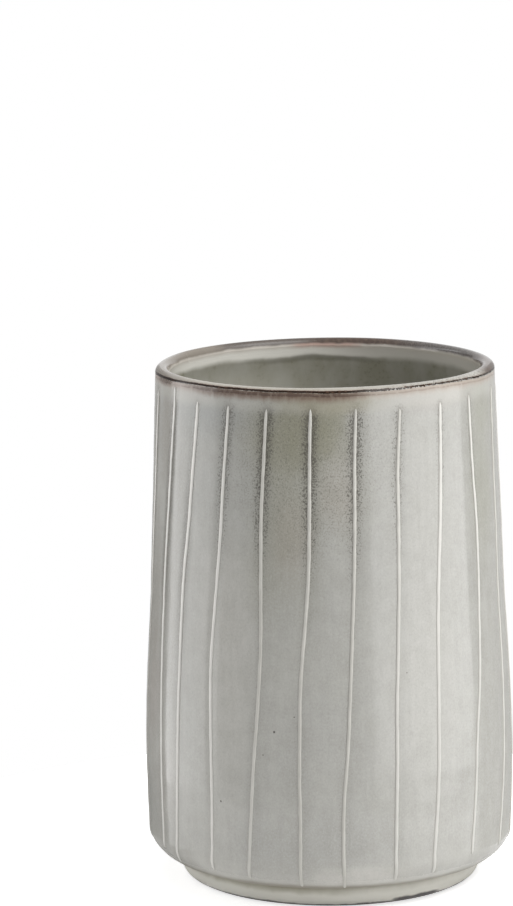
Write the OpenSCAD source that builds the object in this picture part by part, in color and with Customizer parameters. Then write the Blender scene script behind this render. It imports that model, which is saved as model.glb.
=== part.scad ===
// Bathroom tumbler: a thrown stoneware cup with a foot ring, glazed inside and out,
// with a ring of thin raised slip lines trailed down its outside.
// Z is the axis of the cup, z = 0 is the table, and the front of the cup faces -Y.

/* [Cup] */
// Height from the table to the top of the lip
cup_h = 112.5; // [90:0.5:140]
// Diameter at the widest part of the belly
belly_d = 80; // [74:0.5:90]
// Height of the widest part above the table
belly_h = 27; // [18:0.5:45]
// Radius of the belly's curve, seen from the side
belly_curve_r = 220; // [150:5:300]
// How far the side draws in from the belly to the mouth
mouth_draw = 3.6; // [0:0.1:8]
// Radius that turns the belly in to the foot
shoulder_r = 6; // [4:0.25:9]

/* [Wall] */
// Thickness of the wall, glaze included
wall_t = 3; // [2.4:0.1:4.5]
// Thickness of the floor, glaze included
floor_t = 4.4; // [3:0.1:8]
// Radius inside, where the wall meets the floor
corner_r = 8; // [4:0.5:12]
// Radius on the outer edge of the lip; the inner edge takes the rest of the wall
lip_outer_r = 1.2; // [0.8:0.05:1.5]

/* [Foot] */
// Height of the foot ring, from the table to the belly's underside
foot_h = 5; // [3.5:0.1:8]
// How far the foot ring stands in from the belly
foot_draw = 7.4; // [6.4:0.1:12]
// Width of the foot ring from outside to inside
foot_w = 6; // [4.5:0.1:9]
// Radius on the foot ring's outer edge
foot_outer_r = 2.6; // [1:0.1:3]
// Radius on the foot ring's inner edge
foot_inner_r = 1; // [0.5:0.1:1.4]
// Depth of the recess under the floor
recess_h = 2.4; // [1.5:0.1:3.2]
// Radius in the corner of the recess
recess_corner_r = 1.2; // [0.6:0.1:1.4]

/* [Glaze] */
// Thickness of the fired glaze
glaze_t = 0.5; // [0.4:0.05:0.7]
// Clearance between the clay and the glaze that covers it
bond_gap = 0.04; // [0:0.01:0.1]
// Height of the bare clay left round the bottom of the foot ring
bare_h = 0.5; // [0.3:0.05:0.9]

/* [Iron lines] */
// Height of the iron-brown line that runs round the outside of the lip
iron_outer_h = 0.45; // [0.3:0.05:0.8]
// Distance from the top of the lip down to the outer iron line
iron_outer_drop = 1.1; // [0.9:0.05:2]
// Height of the iron-brown line that runs round the inside of the lip
iron_inner_h = 0.6; // [0.3:0.05:1]
// Distance from the top of the lip down to the inner iron line
iron_inner_drop = 1.2; // [0.9:0.05:2.5]

/* [Slip lines] */
// Number of slip lines round the cup
line_count = 24; // [12:1:30]
// Width of a slip line
line_w = 0.9; // [0.6:0.05:1.6]
// Height that a slip line stands out from the glaze
line_rise = 0.3; // [0.2:0.05:0.6]
// Distance from the top of the lip down to the lines' upper tips
line_top_gap = 4.2; // [3:0.1:12]
// Distance from the belly's underside up to the lines' lower tips
line_bottom_gap = 2; // [1.5:0.1:6]
// How far a line's upper tip stands to the right of its lower tip
line_slant = 4.6; // [0:0.2:8]
// How far the hand strays to either side along a line
line_wander = 1; // [0:0.1:1.5]
// How much further a line's tip may stop short
line_end_play = 2; // [0:0.1:3]
// Bearing of the first line, from the front of the cup
line_start_angle = -67.5; // [-180:0.5:180]

/* [Hidden] */
$fn = 180;

// Length by which a cut runs past the surface that it cuts
overrun = 1;
// Share of a slip line's length at which it stands on its bearing
mid_share = 0.5;

// Heights along a slip line, as shares of its length from the lower tip, and the line's
// half width there, as a share of its full half width
line_station_shares = [0, 0.03, 0.1, 0.25, 0.42, 0.58, 0.75, 0.9, 0.96, 1];
line_taper_shares = [0, 0.7, 1, 0.95, 1, 0.95, 1, 0.85, 0.5, 0];

// Where each line stands off its even place, as shares of the step from line to line
line_place_shares = [
    0.2, 0, -0.02, 0.02, 0.02, -0.02, 0, 0, 0.2, 0.35, 0.2, 0.1,
    0, -0.1, 0.05, 0.1, -0.05, 0, 0.12, 0.05, -0.1, 0, 0.08, 0.1
];
// How far each line's upper and lower tip stop short, as shares of line_end_play
line_top_shares = [
    0, 0, 0, 0.1, 0, 0.05, 0.3, 0.15, 0, 0, 0.3, 0.1,
    0, 0.2, 0.4, 0, 0.1, 0.3, 0, 0.2, 0, 0.1, 0.4, 0
];
line_bottom_shares = [
    1, 0, 0.4, 0.1, 0, 0, 0, 0.3, 1, 1, 0.5, 0.2,
    0.6, 0, 0.3, 0.8, 0.1, 0, 0.5, 0.2, 0.7, 0, 0.4, 0.6
];
// Where the hand strays along each line, at five even heights from the lower tip to the
// upper one, as shares of line_wander
line_wander_shares = [
    [0.9, 0.6, -0.5, -0.2, 1.2],
    [-1.2, 0.1, -0.3, 0.2, 1.4],
    [0.7, 0.3, -0.5, 0, 1],
    [-0.5, 0.2, 0.3, -0.5, 0],
    [0.7, 0, -0.1, 0.1, -0.4],
    [0.4, -0.3, 0.2, 0, -0.1],
    [1.1, 0.2, 0.1, -0.3, -0.5],
    [0.5, -0.2, -0.3, 0.3, -0.2],
    [-0.6, -0.7, 0.5, 0.1, -1.2],
    [-1.2, 0.1, 0.3, -0.5, -0.9],
    [0.4, -0.2, -0.4, 0.2, 0.6],
    [-0.3, 0.4, 0.1, -0.2, -0.7],
    [0.8, 0.1, -0.5, -0.1, 0.5],
    [0.1, -0.5, -0.2, 0.4, 0.3],
    [-0.7, 0.2, 0.5, 0, -0.4],
    [0.3, 0.5, -0.1, -0.4, 0.2],
    [-0.4, -0.1, 0.3, 0.5, -0.6],
    [0.9, 0.3, -0.3, -0.4, 0.1],
    [-0.2, -0.6, 0, 0.4, 0.8],
    [0.5, 0, -0.6, 0.1, 0.4],
    [-0.8, 0.3, 0.4, -0.3, -0.5],
    [0.2, 0.6, 0.1, -0.5, 0.3],
    [-0.5, -0.3, 0.5, 0.2, -0.8],
    [0.6, 0.1, -0.4, 0.3, 0.7]
];

belly_r = belly_d / 2;
mouth_r = belly_r - mouth_draw;
foot_r = belly_r - foot_draw;
recess_r = foot_r - foot_w;

// The side of the cup is a belly arc that runs on as a straight taper to the mouth.
// belly_x is the arc's centre, and taper_a the taper's lean towards the axis.
belly_x = belly_r - belly_curve_r;
mouth_reach = norm([mouth_r - belly_x, cup_h - belly_h]);
taper_a = atan2(cup_h - belly_h, mouth_r - belly_x) - acos(belly_curve_r / mouth_reach);

// The shoulder arc lies inside the belly arc and touches it at shoulder_a below the level
shoulder_z = foot_h + shoulder_r;
shoulder_a = asin((belly_h - shoulder_z) / (belly_curve_r - shoulder_r));
shoulder_x = belly_x + (belly_curve_r - shoulder_r) * cos(shoulder_a);

// The corner arc inside touches the floor and the inner belly arc, at corner_a below the level
inner_curve_r = belly_curve_r - wall_t;
floor_z = recess_h + floor_t;
corner_z = floor_z + corner_r;
corner_a = asin((belly_h - corner_z) / (inner_curve_r - corner_r));
corner_x = belly_x + (inner_curve_r - corner_r) * cos(corner_a);

// The lip is a rounded edge: both of its arcs reach full height at crest_x
crest_x = mouth_r + lip_outer_r * (tan(taper_a) - 1 / cos(taper_a));
lip_inner_r = (wall_t - lip_outer_r * (1 - sin(taper_a))) / (1 + sin(taper_a));
lip_outer_z = cup_h - lip_outer_r;
lip_inner_z = cup_h - lip_inner_r;

// Edges of the glaze fields and the iron lines between them
iron_outer_top = cup_h - iron_outer_drop;
iron_outer_bottom = iron_outer_top - iron_outer_h;
iron_inner_top = cup_h - iron_inner_drop;
iron_inner_bottom = iron_inner_top - iron_inner_h;

// The heights between which slip lines lie, and the step from one line to the next
line_low_z = foot_h + line_bottom_gap;
line_high_z = cup_h - line_top_gap;
line_step = 360 / line_count;

slip_line_names = [for (i = [1 : line_count]) str("slip_line_", i < 10 ? "0" : "", i)];

// A point on an arc, from the arc's centre, its radius and the angle above the level
function on_arc(x, z, r, a) = [x + r * cos(a), z + r * sin(a)];

// The value for line i from a table that starts again after its last row
function for_line(table, i) = table[i % len(table)];

// How far line i stands to the right of its bearing at a share s of its length
function stray(i, s) =
    let (row = for_line(line_wander_shares, i), last = len(row) - 1)
    (s - mid_share) * line_slant + line_wander * lookup(s, [for (k = [0 : last]) [k / last, row[k]]]);

// Everything inside the outer surface, in section, grown outwards by skin. Each arc lies
// inside the line or arc that it touches, so the shapes overlap and their outlines run on.
module outside(skin) {
    taper_low = on_arc(belly_x, belly_h, belly_curve_r + skin, taper_a);
    taper_high = on_arc(crest_x, lip_outer_z, lip_outer_r + skin, taper_a);
    belly_low = on_arc(belly_x, belly_h, belly_curve_r + skin, -shoulder_a);
    // The taper and the lip
    polygon([
        [0, taper_low.y], taper_low, taper_high, [crest_x, lip_outer_z],
        [crest_x, cup_h + skin], [0, cup_h + skin]
    ]);
    translate([crest_x, lip_outer_z]) circle(r = lip_outer_r + skin);
    // The belly
    intersection() {
        translate([belly_x, belly_h]) circle(r = belly_curve_r + skin);
        translate([0, belly_low.y]) square([belly_d, cup_h - belly_low.y]);
    }
    // The shoulder and the underside that it runs into
    translate([shoulder_x, shoulder_z]) circle(r = shoulder_r + skin);
    translate([0, foot_h - skin]) square([shoulder_x, belly_h - foot_h]);
    // The foot ring, filled in the middle
    translate([0, foot_outer_r]) square([foot_r + skin, shoulder_z - foot_outer_r]);
    square([foot_r - foot_outer_r, shoulder_z]);
    intersection() {
        translate([foot_r - foot_outer_r, foot_outer_r]) circle(r = foot_outer_r + skin);
        square([belly_d, foot_h]);
    }
}

// The hollow of the cup, in section, drawn in by skin as the wall grows
module inside(skin) {
    taper_low = on_arc(belly_x, belly_h, inner_curve_r - skin, taper_a);
    taper_high = on_arc(crest_x, lip_inner_z, lip_inner_r + skin, 180 + taper_a);
    belly_low = on_arc(belly_x, belly_h, inner_curve_r - skin, -corner_a);
    // The taper and the mouth, opened by the inner half of the lip
    difference() {
        polygon([
            [0, taper_low.y], taper_low, taper_high, [crest_x, lip_inner_z],
            [crest_x, cup_h + overrun], [0, cup_h + overrun]
        ]);
        translate([crest_x, lip_inner_z]) circle(r = lip_inner_r + skin);
    }
    // The belly
    intersection() {
        translate([belly_x, belly_h]) circle(r = inner_curve_r - skin);
        translate([0, belly_low.y]) square([belly_d, lip_inner_z - belly_low.y]);
    }
    // The corner and the floor
    translate([corner_x, corner_z]) circle(r = corner_r - skin);
    translate([0, floor_z + skin]) square([corner_x, belly_h - floor_z]);
}

// The recess inside the foot ring, in section, drawn in by skin as the clay grows
module recess(skin) {
    low = recess_corner_r - skin;
    translate([0, -overrun]) square([recess_r - skin, recess_h - recess_corner_r + overrun]);
    translate([0, -overrun]) square([recess_r - recess_corner_r, recess_h - skin + overrun]);
    translate([recess_r - recess_corner_r, recess_h - recess_corner_r]) circle(r = low);
    // The rounded inner edge of the foot ring
    difference() {
        square([recess_r + foot_inner_r, foot_inner_r]);
        translate([recess_r + foot_inner_r, foot_inner_r]) circle(r = foot_inner_r);
    }
}

// The wall, floor and foot of the cup, in section, grown on every face by skin
module section(skin) {
    difference() {
        outside(skin);
        inside(skin);
        recess(skin);
    }
}

// The part of a section between two heights
module between(low, high) {
    intersection() {
        children();
        translate([0, low]) square([belly_d, high - low]);
    }
}

// The coat of glaze on the outer surface and on the inner surface, in section
module outer_coat() {
    difference() {
        outside(0);
        outside(bond_gap - glaze_t);
    }
}

module inner_coat() {
    difference() {
        inside(bond_gap - glaze_t);
        inside(0);
    }
}

// The fired clay: wall, floor and foot ring, bare round the bottom of the foot
module clay_body() {
    color("#c9b9a2")
    rotate_extrude() {
        section(-glaze_t);
        between(0, bare_h) section(0);
    }
}

// The reactive glaze outside, from the foot to the outer iron line
module outer_glaze() {
    color("#a9aca5")
    rotate_extrude() between(bare_h, iron_outer_bottom) outer_coat();
}

// The pale glaze over the lip, between the two iron lines
module lip_glaze() {
    color("#b5b0a6")
    rotate_extrude() {
        intersection() {
            between(iron_outer_top, cup_h + overrun) outer_coat();
            translate([crest_x, 0]) square([belly_d, cup_h + overrun]);
        }
        intersection() {
            between(iron_inner_top, cup_h) inner_coat();
            square([crest_x, cup_h]);
        }
    }
}

// The glaze of the hollow, floor included, up to the inner iron line
module inner_glaze() {
    color("#87857a")
    rotate_extrude() between(floor_z - glaze_t, iron_inner_bottom) inner_coat();
}

// The glaze under the floor, inside the foot ring
module base_glaze() {
    color("#a19e94")
    rotate_extrude() between(bare_h, foot_h) difference() {
        recess(bond_gap - glaze_t);
        recess(0);
    }
}

// The iron-brown line round the outside of the lip
module iron_line_outer() {
    color("#4a3a30")
    rotate_extrude() between(iron_outer_bottom, iron_outer_top) outer_coat();
}

// The iron-brown line round the inside of the lip
module iron_line_inner() {
    color("#6b4a3a")
    rotate_extrude() between(iron_inner_bottom, iron_inner_top) inner_coat();
}

// The outline of slip line i seen square on, pushed out from the axis at its bearing
module line_band(i) {
    low = line_low_z + line_end_play * for_line(line_bottom_shares, i);
    high = line_high_z - line_end_play * for_line(line_top_shares, i);
    last = len(line_station_shares) - 1;
    // One edge of the line: side is 1 for the right edge and -1 for the left
    function edge_point(k, side) = [
        stray(i, line_station_shares[k]) + side * line_taper_shares[k] * line_w / 2,
        low + (high - low) * line_station_shares[k]
    ];
    rotate([90, 0, line_start_angle + line_step * (i + for_line(line_place_shares, i))])
    linear_extrude(belly_d)
    polygon([
        for (k = [0 : last]) edge_point(k, 1),
        for (k = [last - 1 : -1 : 1]) edge_point(k, -1)
    ]);
}

// Slip line i: a raised line that lies on the outer glaze, and follows the belly and shoulder
module slip_line(i) {
    color("#e6e4da")
    intersection() {
        rotate_extrude() difference() {
            outside(line_rise);
            outside(0);
        }
        line_band(i);
    }
}

clay_body();
outer_glaze();
lip_glaze();
inner_glaze();
base_glaze();
iron_line_outer();
iron_line_inner();
for (i = [0 : line_count - 1]) {
    slip_line(i);
}
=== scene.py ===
# %% [markdown]
# # A glazed stoneware tumbler
#
# This lesson dresses a plain technical model of a bathroom tumbler so that it looks like the
# fired pot: a cup of stoneware, a grey-green reactive glaze, a ring of thin raised slip lines
# and an iron-brown edge round the lip. Every piece is made in mesh code, in metres, in the
# same place as the solid that it stands for.

import math

import bpy
import numpy as np
from mathutils import Matrix, Vector


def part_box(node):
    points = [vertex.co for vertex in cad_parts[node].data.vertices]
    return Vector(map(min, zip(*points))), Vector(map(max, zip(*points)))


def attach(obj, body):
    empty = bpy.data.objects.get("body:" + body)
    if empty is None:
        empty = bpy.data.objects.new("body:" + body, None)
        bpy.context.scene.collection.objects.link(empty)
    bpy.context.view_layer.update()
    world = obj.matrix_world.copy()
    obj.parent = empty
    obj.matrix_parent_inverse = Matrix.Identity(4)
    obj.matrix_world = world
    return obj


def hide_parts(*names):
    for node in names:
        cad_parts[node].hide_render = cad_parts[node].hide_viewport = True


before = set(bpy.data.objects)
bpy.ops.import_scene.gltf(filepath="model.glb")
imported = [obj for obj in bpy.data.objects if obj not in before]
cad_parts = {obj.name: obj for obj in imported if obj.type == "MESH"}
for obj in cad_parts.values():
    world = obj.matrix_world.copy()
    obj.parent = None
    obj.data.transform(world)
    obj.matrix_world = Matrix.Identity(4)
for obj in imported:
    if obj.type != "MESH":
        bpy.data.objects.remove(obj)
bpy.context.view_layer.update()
MM = 0.001

# %% [markdown]
# ## The potter's profile
#
# A cup like this is thrown or cast as one wall of clay, so one line describes it: up from the
# foot, round the shoulder, up the side, over the lip, down the inside and across the floor.
# A few points under a subdivision modifier would be quicker, but they would round off the lip
# and the foot as they please. So the line is drawn once, in millimetres, as arcs and one flowing
# curve through listed points. All the coats of glaze are later cut from this same line,
# which is why they meet without a step.

# %% Helpers that draw the profile
def arc(centre, radii, start, stop, step=0.08):
    """Points on an arc of an ellipse, between two angles in degrees."""
    count = max(8, int(abs(math.radians(stop - start)) * max(radii) / step))
    angles = np.radians(np.linspace(start, stop, count))
    return np.column_stack([centre[0] + radii[0] * np.cos(angles), centre[1] + radii[1] * np.sin(angles)])


def flowing(knots, per_span=60):
    """A smooth curve through given points."""
    knots = np.array(knots, float)
    padded = np.vstack([2 * knots[0] - knots[1], knots, 2 * knots[-1] - knots[-2]])
    t = np.linspace(0, 1, per_span, endpoint=False)[:, None]
    spans = [
        0.5 * (2 * b + (c - a) * t + (2 * a - 5 * b + 4 * c - d) * t**2 + (3 * b - a - 3 * c + d) * t**3)
        for a, b, c, d in zip(padded, padded[1:], padded[2:], padded[3:])
    ]
    return np.vstack(spans + [knots[-1:]])


def smoothed(values, width):
    """A running bell-shaped mean; the run goes on straight past both ends."""
    reach = 3 * width
    bell = np.exp(-0.5 * (np.arange(-reach, reach + 1) / width) ** 2)
    before = 2 * values[0] - values[reach:0:-1]
    after = 2 * values[-1] - values[-2 : -reach - 2 : -1]
    return np.convolve(np.r_[before, values, after], bell / bell.sum(), "valid")


# %% Draw the profile
lip_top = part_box("lip_glaze")[1].z / MM
bare_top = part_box("outer_glaze")[0].z / MM
floor_top = 6.8
wall = 3.0

foot = arc((29.75, 2.25), (2.75, 2.25), -90, 0)
foot_fillet = arc((33.4, 4.03), (0.9, 0.9), 180, 90)
shoulder = arc((33.56, 10.95), (6.02, 6.02), -90, -2.6)
side = flowing([
    (39.575, 10.68), (39.66, 13.2), (39.85, 18.5), (39.97, 26), (39.88, 34), (39.46, 45), (38.76, 56.5),
    (38.4, 62), (38.17, 68), (37.77, 79), (37.3, 90), (36.87, 102), (36.56, lip_top - 1.26),
])
lip_outer = arc((34.82, lip_top - 1.3), (1.74, 1.3), 2, 90)
lip_inner = arc((34.82, lip_top - 1.9), (1.33, 1.9), 90, 178)
inside_wall = side[(side[:, 1] > 15) & (side[:, 1] < lip_top - 2)][::-1] - (wall, 0)
inside_corner = arc((28.75, 14.8), (8, 8), 0, -90)
floor = np.column_stack([np.linspace(28.6, 0, 240), np.full(240, floor_top)])

stations = 6000
up_outside = [foot, foot_fillet, shoulder, side, lip_outer]
down_inside = [lip_inner, inside_wall, inside_corner, floor]
line = np.vstack(up_outside + down_inside)
length = np.r_[0, np.cumsum(np.hypot(*np.diff(line, axis=0).T))]
along = np.linspace(0, length[-1], stations)
profile = np.column_stack([smoothed(np.interp(along, length, line[:, k]), 4) for k in (0, 1)])
tangent = np.gradient(profile, axis=0)
tangent /= np.hypot(*tangent.T)[:, None]
outward = np.column_stack([tangent[:, 1], -tangent[:, 0]])
crest = along[np.argmax(profile[:, 1])]
widest = profile[:, 0].max()
print("profile:", round(along[-1], 1), "mm, crest at", round(crest, 1), "widest", round(widest, 2))


def at(s):
    """Radius, height and outward normal of the profile at distance s along it."""
    return [np.interp(s, along, column) for column in (*profile.T, *outward.T)]


def station(z, inside=False):
    """How far along the profile the outside, or the inside, stands at height z."""
    rows = (along > crest) & (profile[:, 0] > 33) if inside else (along < crest)
    order = -1 if inside else 1
    return np.interp(z, profile[rows, 1][::order], along[rows][::order])


# %% [markdown]
# ## Following the slip lines
#
# The lines are trailed on by hand, each with its own slant and wander. Their course could be
# typed in again, but then two lists would have to agree. It is measured instead: each solid is
# cut by level planes, and the middles of the cuts give the course. A light smoothing takes out
# the corners between the solid's straight stretches, since a hand never turns a corner like that.

# %% Measure every slip line's course
def course_of(name, levels=72):
    """Heights in mm, and bearings in radians from the front, of one line."""
    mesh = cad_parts[name].data
    points = np.array([v.co for v in mesh.vertices]) / MM
    ends = points[np.array([e.vertices[:] for e in mesh.edges])]
    heights = np.linspace(points[:, 2].min() + 0.02, points[:, 2].max() - 0.02, levels)
    middle = np.arctan2(points[:, 0].mean(), -points[:, 1].mean())
    bearings = []
    for level in heights:
        a, b = ends[(ends[:, 0, 2] - level) * (ends[:, 1, 2] - level) < 0].transpose(1, 0, 2)
        cut = a + (b - a) * ((level - a[:, 2]) / (b[:, 2] - a[:, 2]))[:, None]
        turn = (np.arctan2(cut[:, 0], -cut[:, 1]) - middle + np.pi) % (2 * np.pi) - np.pi
        bearings.append(middle + (turn.min() + turn.max()) / 2)
    return {"name": name, "z": heights, "bearing": smoothed(np.array(bearings), 3)}


# %% [markdown]
# ## The kinks of a drawn line
#
# A trailed line is never even: the hand slows, turns the cup and goes on, which leaves small
# kinks and tips of unequal length. Noise could make such kinks, but not these ones. The nine
# lines in front are the face of the cup, so a table gives each its own sideways steps.

# %% Let the lines stray
# How far the front lines stray from their solids, in mm to the right, at eleven heights
STRAY_HEIGHTS = (106, 94, 82, 70, 62, 54, 46, 34, 22, 10, 6)
STRAYS = {
    "slip_line_01": (-0.4, -0.3, -0.3, -0.8, -0.8, -0.5, -0.1, 0.5, 0.8, 0.9, 0.9),
    "slip_line_02": (0, 0, 0, -0.9, -0.9, -0.5, -0.4, 0, 0.5, 0.6, 0.6),
    "slip_line_03": (-0.4, -0.3, 0.1, -0.1, -0.5, -0.6, -0.4, 0.2, 0.6, 0.4, 0.0),
    "slip_line_04": (-0.5, -0.4, -0.1, 0.1, 0.3, 0.5, 0.4, 0.1, 0.1, 0.2, 0.0),
    "slip_line_05": (-0.3, -0.3, 0, 0.2, -0.1, -0.5, -0.5, -0.2, 0.1, 0.2, 0.2),
    "slip_line_06": (-0.4, -0.3, 0.1, 0.1, 0.1, 0, 0.1, 0.1, -0.6, -0.3, 0.2),
    "slip_line_07": (-0.2, -0.5, -0.1, 0, 0, -0.2, -0.4, -0.1, -0.2, -0.3, 0.3),
    "slip_line_08": (0.2, 0.3, -0.1, -0.2, -0.1, -0.1, -0.1, 0.1, -0.2, -0.9, -0.1),
    "slip_line_09": (-1, -0.6, 0.1, 0.6, 0.6, 0.5, 0.3, -0.4, -0.6, -0.9, -0.2),
}
# How far a drawn tip runs on below and above its solid, in mm
TIPS = {
    "slip_line_01": (0, 2.2), "slip_line_05": (1.0, 0),
    "slip_line_06": (1.3, 0), "slip_line_09": (-0.9, 0),
}


def strayed(course):
    """The same course with its hand-drawn kinks and tips."""
    down, up = TIPS.get(course["name"], (0, 0))
    low, high = course["z"][0], course["z"][-1]
    course["z"] = np.interp(course["z"], (low, high), (low - down, high + up))
    strays = STRAYS.get(course["name"], (0,) * len(STRAY_HEIGHTS))
    by = np.interp(course["z"], STRAY_HEIGHTS[::-1], strays[::-1])
    radius = np.array([at(station(z))[0] for z in course["z"]])
    course["bearing"] = course["bearing"] + smoothed(by, 2) / radius
    return course


slip_lines = [strayed(course_of(name)) for name in sorted(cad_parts) if name.startswith("slip_line_")]
slip_lines.sort(key=lambda course: course["bearing"].mean())
print("slip lines:", len(slip_lines), "at", [round(math.degrees(c["bearing"].mean())) for c in slip_lines])

# %% [markdown]
# ## The hand in the pot
#
# No thrown cup is a perfect turned shape. This one leans half a degree to the left, so its lip
# stands a little lower on that side, and it is a shade out of round. Modifiers could do that,
# but some thirty pieces would need the same ones. One function that moves the points of every
# piece keeps the coats on the clay.

# %% Bend points as the potter's hand did
LEAN = -0.0087  # half a degree, to the left
UPRIGHT_AT = 40  # the height in mm that stays in its place


def hand(points):
    """Moves points of the true round cup, in mm, to where they are on the made one."""
    x, y, z = points.T
    bearing = np.arctan2(x, -y)
    rise = np.clip(z / lip_top, 0, 1)
    swell = 1 + rise * (0.0008 * np.cos(2 * bearing - 0.9) + 0.0005 * np.cos(3 * bearing + 0.4))
    lift = -x * LEAN * rise + rise**6 * (0.04 * np.sin(2 * bearing + 1.1) + 0.03 * np.sin(5 * bearing))
    return np.column_stack([x * swell + (z - UPRIGHT_AT) * LEAN, y * swell, z + lift])


def wander(bearing, *waves):
    """A slow drift round the cup: each wave is (size, times round, phase)."""
    return sum(size * np.sin(times * bearing + phase) for size, times, phase in waves)


print("the lip leans over by", round((lip_top - UPRIGHT_AT) * LEAN, 2), "mm")

# %% [markdown]
# ## Columns that follow the lines
#
# The glaze sinks a little beside each slip line, so the mesh needs its finest columns there. An
# even grid as fine as that would be several times as heavy. The columns are therefore laid
# between the lines' own courses, close together near a line and wider apart in between.

# %% Lay the columns
# Where the columns stand between a line, at 0, and the next one, at 1
SHARES = (
    0, 0.035, 0.075, 0.12, 0.17, 0.23, 0.3, 0.38, 0.46,
    0.54, 0.62, 0.7, 0.77, 0.83, 0.88, 0.925, 0.965,
)
FAR = 99.0  # mm, says that nothing is near
columns = len(SHARES) * len(slip_lines)


def bearings_at(z):
    """Bearings of all columns at heights z, with one row of z per column."""
    z = np.broadcast_to(z, (columns, np.shape(z)[-1]))
    found = []
    for i, course in enumerate(slip_lines):
        after = slip_lines[(i + 1) % len(slip_lines)]
        turn = 2 * np.pi if i + 1 == len(slip_lines) else 0
        for share in SHARES:
            height = z[len(found)]
            a = np.interp(height, course["z"], course["bearing"])
            b = np.interp(height, after["z"], after["bearing"]) + turn
            found.append(a + share * (b - a))
    return np.array(found)


def to_nearest_line(bearing, z, radius):
    """Distance in mm from each point of the outside to the nearest slip line."""
    nearest = np.full(np.shape(bearing), FAR)
    for course in slip_lines:
        turn = (bearing - np.interp(z, course["z"], course["bearing"]) + np.pi) % (2 * np.pi) - np.pi
        beyond = np.maximum(0, np.maximum(course["z"][0] - z, z - course["z"][-1]))
        nearest = np.minimum(nearest, np.hypot(turn * radius, beyond))
    return nearest


print("columns:", columns)

# %% [markdown]
# ## A coat of glaze as a closed shell
#
# Each coat is a thin shell of its own: an outer face that carries the relief, an inner face a
# hair above the clay, and two edges where it meets the next coat. A solidify modifier could
# thicken a sheet too, but then the edges of neighbours would not meet. Numbers that the
# finishes need, such as the distance to the nearest slip line, are stored on the mesh points.

# %% Pieces, their sharp edges and their measures
def new_object(name, data):
    """An object of this data, put into the scene."""
    made = bpy.data.objects.new(name, data)
    bpy.context.scene.collection.objects.link(made)
    return made


def new_piece(name, points, faces, slot, *nodes):
    """Makes a mesh object of points in mm, and hands the solids' place to it."""
    mesh = bpy.data.meshes.new(name)
    mesh.from_pydata((points * MM).tolist(), [], faces)
    mesh.shade_smooth()
    piece = new_object(name, mesh)
    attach(piece, "root")
    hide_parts(*nodes)
    return piece


def crease(piece, sharp):
    """Marks edges as sharp: one yes or no for each edge."""
    piece.data.attributes.new("sharp_edge", "BOOLEAN", "EDGE").data.foreach_set("value", sharp)


def keep(piece, name, values):
    """Stores one number on every point of a piece."""
    stored = piece.data.attributes.new(name, "FLOAT", "POINT")
    stored.data.foreach_set("value", np.ravel(values).astype(np.float32))


def edge_ends(piece):
    """The two point numbers of every edge."""
    ends = np.empty(len(piece.data.edges) * 2, int)
    piece.data.edges.foreach_get("vertices", ends)
    return ends.reshape(-1, 2)


# %% The relief of the outer face
GLAZE = 0.46  # mm, how thick a coat is
SINK = 0.07  # mm that the glaze sinks beside a line
RELIEF_FADE = 5.0  # mm over which the relief dies out at the foot and at the iron line


def smoothstep(low, high, value):
    """Goes smoothly from 0, at low, to 1, at high."""
    t = np.clip((value - low) / (high - low), 0, 1)
    return t * t * (3 - 2 * t)


def relief(s, bearing, near):
    """How far the outer face of the glaze stands out, in mm, apart from the profile."""
    free = smoothstep(foot_start, foot_start + RELIEF_FADE, s)
    free = free * smoothstep(relief_end, relief_end - RELIEF_FADE, s)
    sunk = -SINK * np.exp(-((near / 1.5) ** 2))
    panels = wander(bearing, (0.03, 7, 0.3), (0.025, 13, 1.9), (0.015, 31, 0.7))
    rings = 0.012 * np.sin(s * 0.9 + np.sin(bearing)) + 0.02 * np.sin(s * 0.21 + 2 * np.sin(bearing + 1))
    return free * (sunk + panels + rings)


def placed(s, out, bearing):
    """Points of the cup at stations s, stood out from the profile by out, at their bearings."""
    r, z, nr, nz = at(s)
    radius, height = r + nr * out, z + nz * out
    return np.stack([radius * np.sin(bearing), -radius * np.cos(bearing), height], -1)


# %% A shell between two stations of the profile
def shell(name, first, last, rows, inner_rows, slot, node, relieved=False):
    """Builds a closed coat between stations first and last, which may differ from column to column."""
    first, last = (np.broadcast_to(v, (columns,))[:, None] for v in (first, last))
    outer, inner = (first + (last - first) * np.linspace(0, 1, n)[None, :] for n in (rows, inner_rows))
    s = np.hstack([outer, inner[:, ::-1]])
    r, z = at(s)[:2]
    bearing = bearings_at(z)
    near = to_nearest_line(bearing, z, r)
    out = relief(s, bearing, near) if relieved else np.zeros(s.shape)
    out[:, rows:] = -GLAZE
    return closed_ring(name, placed(s, out, bearing), s, bearing, near, rows, slot, node)


def closed_ring(name, points, s, bearing, near, rows, slot, node):
    """Joins columns of section points into one closed ring, and stores its measures."""
    loop = points.shape[1]
    c, k = np.meshgrid(np.arange(columns), np.arange(loop), indexing="ij")
    c2, k2 = (c + 1) % columns, (k + 1) % loop
    faces = np.stack([c * loop + k, c2 * loop + k, c2 * loop + k2, c * loop + k2], -1).reshape(-1, 4)
    piece = new_piece(name, hand(points.reshape(-1, 3)), faces.tolist(), slot, node)
    a, b = edge_ends(piece).T % loop
    crease(piece, (a == b) & np.isin(a, [0, rows - 1, rows, loop - 1]))
    keep(piece, "near_line", near)
    keep(piece, "below_outer_iron", iron_line_at(bearing) - s)
    keep(piece, "below_inner_iron", s - inner_iron_at(bearing))
    return piece


# %% [markdown]
# ## Where one glaze ends and the next begins
#
# The iron line is where the lip glaze and the body glaze meet and bleed. Level borders would be
# simple, but a dipped edge is never level: on this cup it hangs lower at the sides than in
# front. So each border is a drop below the crest at a few bearings, with a small tremble.

# %% Borders of the zones, one station per column
def around(bearing, *drops):
    """Reads evenly spaced values round the cup, the first and last at the back."""
    places = np.linspace(-np.pi, np.pi, len(drops))
    return np.interp((bearing + np.pi) % (2 * np.pi) - np.pi, places, drops)


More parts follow.
